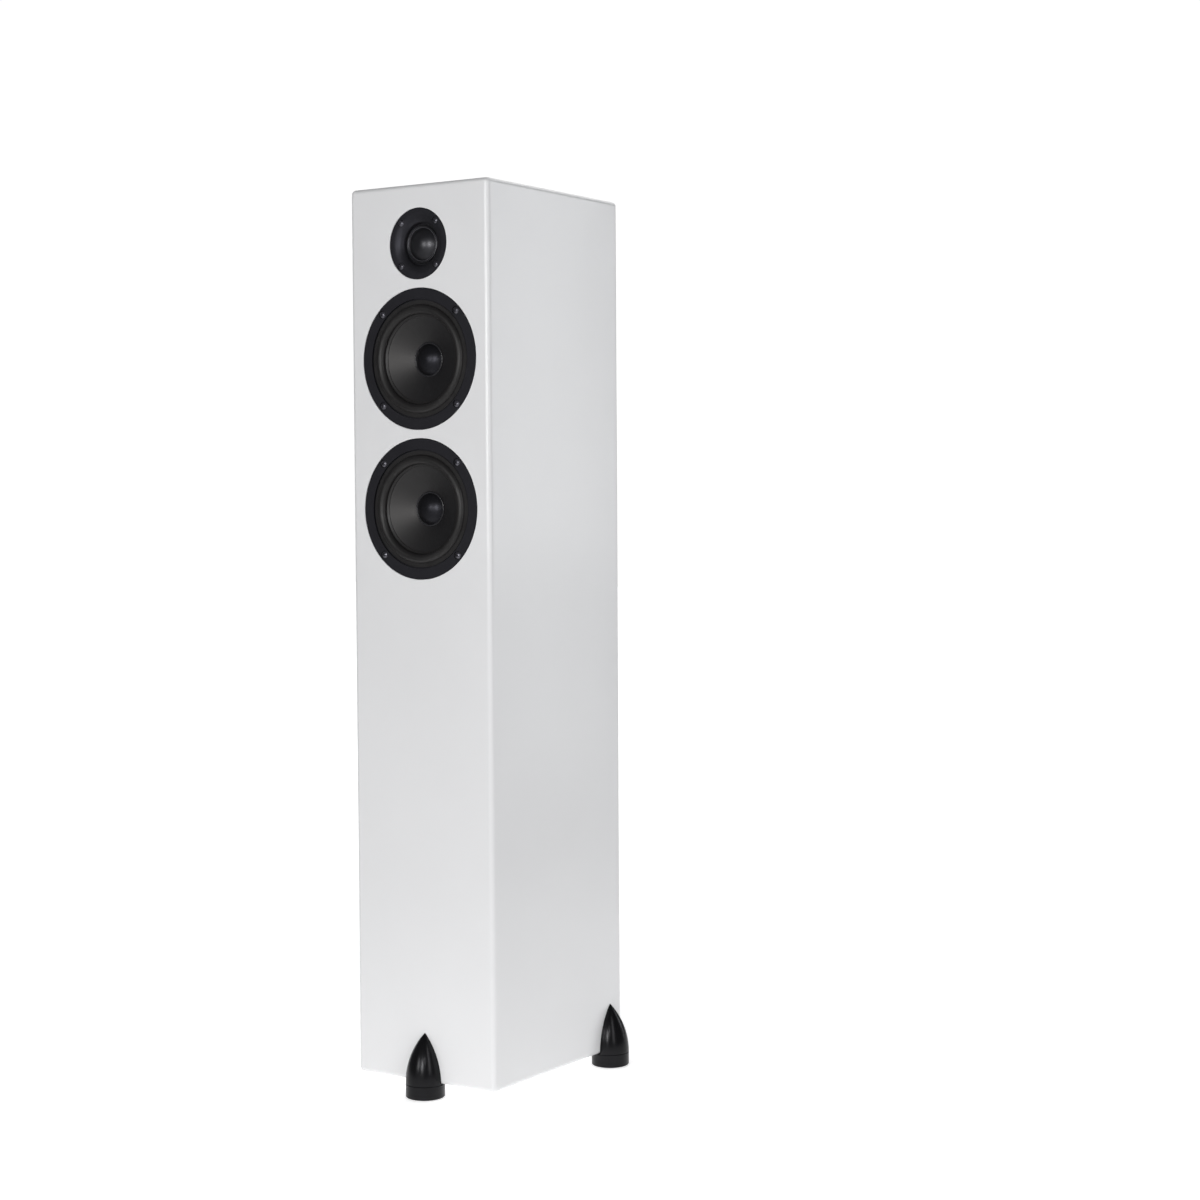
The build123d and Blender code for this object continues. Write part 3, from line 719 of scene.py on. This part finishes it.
def dress_rest():
    steel = black_steel()
    foot = foot_satin()
    brass = metal("gold_plated_brass", (0.75, 0.52, 0.18), (0.88, 0.66, 0.28), 0.16, 0.28)
    port = port_plastic()
    dress(["woofer_screws", "tweeter_screws", "terminal_plate_screws"], steel)
    dress(["foot_bolts", "crossover_fixings"], steel)
    dress(["front_foot", "left_rear_foot", "right_rear_foot"], foot)
    dress(["foot_pads"], foam_rubber("foot_pad_rubber", 0.02))
    dress(["binding_post_studs", "driver_terminals"], brass)
    dress(["port_tube", "post_collars", "tweeter_rear_cup"], port)
    dress(["terminal_plate"], anodised_plate())
    red = knob_plastic("knob_red", (0.38, 0.01, 0.01), (0.5, 0.02, 0.02))
    black = knob_plastic("knob_black", grey(0.008), grey(0.016))
    dress(["positive_knob", "positive_washer"], red)
    dress(["negative_knob", "negative_washer"], black)
    dress(["window_braces"], fibreboard())
    dress(["damping_felt"], felt())
    dress(["crossover_board"], circuit_board())
    dress(["crossover_inductors"], copper_winding())
    dress(["crossover_capacitors"], capacitor_wrap())
    dress(["crossover_resistor"], cement())
    dress(["tweeter_lead", "woofer_leads", "input_leads"], lead_jacket())


# ---------------------------------------------------------------- stage, light and camera

CAMERA_XY = (1.388, CAB_LOW.y - 1.796)
CAMERA_HEIGHT = 0.595
CAMERA_YAW = math.radians(33.18)
CAMERA_PITCH = math.radians(2.39)
CAMERA_ROLL = -0.0058
LENS_MM = 68.0
SENSOR_MM = 36.0
FAR_CLIP = 100

# The floor glows in a fixed sector of the main view. The glow sets in and then grows with
# distance from the point below the camera, and doesn't move when the view changes.
FLOOR_HALF = 12
FLOOR_GLOW = 0.66
FLOOR_FAR_GLOW = 1.0
GLOW_GROWS_FROM = 2.6
GLOW_GROWS_TO = 4.5
GLOW_STARTS = 1.65
GLOW_FULL = 1.9
FLOOR_SECTOR_EDGE = math.cos(math.radians(25))
FLOOR_SECTOR_FULL = math.cos(math.radians(18))

ROOM_GLOW = 0.12
BACKDROP_GLOW = 1.02
BACKDROP_DIRECTION = (-0.547, 0.837, 0.0)
BACKDROP_EDGE = math.cos(math.radians(31))
BACKDROP_FULL = math.cos(math.radians(22))
STRIP_COLOUR = (0.97, 0.985, 1.0)


def floor():
    """Pale paper that glows only where the main view sees it, so that it doesn't light the blacks."""
    mesh = bpy.data.meshes.new("floor")
    bm = bmesh.new()
    bmesh.ops.create_grid(bm, x_segments=1, y_segments=1, size=FLOOR_HALF)
    bm.to_mesh(mesh)
    bm.free()
    look = Look("floor_paper", 0.7, specular=0.2)
    look.colours(look.noise(3, 2), (0.86, 0.86, 0.86), (0.88, 0.88, 0.88))
    look.bump(look.noise(200, 3), 0.05, 0.2)
    offset = look.vector_math("SUBTRACT", look.place, (*CAMERA_XY, 0)).outputs["Vector"]
    distance = look.vector_math("LENGTH", offset, (0, 0, 0)).outputs["Value"]
    towards = look.vector_math("NORMALIZE", offset, (0, 0, 0)).outputs["Vector"]
    along = look.vector_math("DOT_PRODUCT", towards, BACKDROP_DIRECTION).outputs["Value"]
    sector = look.ramp(along, 0.0, 1.0, FLOOR_SECTOR_EDGE, FLOOR_SECTOR_FULL)
    seen = look.math("MULTIPLY", sector, look.ramp(distance, 0.0, 1.0, GLOW_STARTS, GLOW_FULL))
    glow = look.ramp(distance, FLOOR_GLOW, FLOOR_FAR_GLOW, GLOW_GROWS_FROM, GLOW_GROWS_TO)
    look.shader.inputs["Emission Color"].default_value = (1, 1, 1, 1)
    look.links.new(look.math("MULTIPLY", seen, glow), look.shader.inputs["Emission Strength"])
    new_object("floor", mesh, look.material)


def studio_world():
    """A dim cool room with one broad white backdrop glow behind the speaker."""
    world = bpy.data.worlds.new("studio")
    bpy.context.scene.world = world
    world.use_nodes = True
    nodes = world.node_tree.nodes
    links = world.node_tree.links
    place = nodes.new("ShaderNodeTexCoord")
    towards = nodes.new("ShaderNodeVectorMath")
    towards.operation = "DOT_PRODUCT"
    towards.inputs[1].default_value = BACKDROP_DIRECTION
    links.new(place.outputs["Generated"], towards.inputs[0])
    seen = nodes.new("ShaderNodeMapRange")
    seen.interpolation_type = "SMOOTHSTEP"
    seen.inputs["From Min"].default_value = BACKDROP_EDGE
    seen.inputs["From Max"].default_value = BACKDROP_FULL
    links.new(towards.outputs["Value"], seen.inputs["Value"])
    mix = nodes.new("ShaderNodeMix")
    mix.data_type = "RGBA"
    colours = [socket for socket in mix.inputs if socket.type == "RGBA"]
    colours[0].default_value = (ROOM_GLOW * 0.98, ROOM_GLOW, ROOM_GLOW * 1.05, 1)
    colours[1].default_value = (BACKDROP_GLOW, BACKDROP_GLOW, BACKDROP_GLOW, 1)
    links.new(seen.outputs["Result"], mix.inputs[0])
    result = [socket for socket in mix.outputs if socket.type == "RGBA"][0]
    links.new(result, nodes["Background"].inputs["Color"])


def softbox(name, place, target, width, height, watts, colour=(1, 1, 1)):
    light = bpy.data.lights.new(name, "AREA")
    light.shape = "RECTANGLE"
    light.size = width
    light.size_y = height
    light.energy = watts
    light.color = colour
    lamp = bpy.data.objects.new(name, light)
    lamp.location = place
    lamp.rotation_euler = (Vector(target) - Vector(place)).to_track_quat("-Z", "Y").to_euler()
    bpy.context.scene.collection.objects.link(lamp)


def lights():
    """Softboxes as name, place, target, width, height and watts."""
    softbox("key", (0.78, -2.7, 0.95), (0, 0, 0.7), 0.4, 0.75, 22)
    softbox("front_left", (-0.45, -2.9, 0.95), (0, 0, 0.75), 0.6, 0.6, 14)
    softbox("side", (1.25, -0.66, 0.8), (0, 0, 0.6), 0.3, 1.2, 4.2)
    softbox("rear_strip", (1.248, 1.66, 1.02), (0.086, 0, 1.02), 0.18, 1.1, 5.5, STRIP_COLOUR)
    softbox("rear_strip_low", (1.248, 1.66, 0.25), (0.086, 0, 0.25), 0.18, 0.4, 1.0, STRIP_COLOUR)
    softbox("claw_streak", (0.95, -1.45, 0.85), (0, 0, 0.3), 0.1, 0.3, 1.3)
    softbox("top_back", (-0.05, 1.9, 2.15), (0, 0, 0.8), 1.6, 0.9, 9)


def camera():
    """Three-quarter view of the front from the +X side, a little above the middle."""
    flat = math.cos(CAMERA_PITCH)
    forward = Vector((-math.sin(CAMERA_YAW) * flat, math.cos(CAMERA_YAW) * flat, -math.sin(CAMERA_PITCH)))
    level = Vector((math.cos(CAMERA_YAW), math.sin(CAMERA_YAW), 0))
    upright = level.cross(forward)
    right = math.cos(CAMERA_ROLL) * level + math.sin(CAMERA_ROLL) * upright
    up = math.cos(CAMERA_ROLL) * upright - math.sin(CAMERA_ROLL) * level
    data = bpy.data.cameras.new("camera")
    data.lens = LENS_MM
    data.sensor_width = SENSOR_MM
    data.clip_end = FAR_CLIP
    eye = bpy.data.objects.new("camera", data)
    turn = Matrix((right, up, -forward)).transposed().to_4x4()
    eye.matrix_world = Matrix.Translation((*CAMERA_XY, CAMERA_HEIGHT)) @ turn
    bpy.context.scene.collection.objects.link(eye)
    bpy.context.scene.camera = eye


bpy.context.scene.view_settings.view_transform = "Standard"
cabinet_panels(lacquer())
dress_drivers()
dress_rest()
floor()
studio_world()
lights()
camera()

bpy.context.view_layer.update()
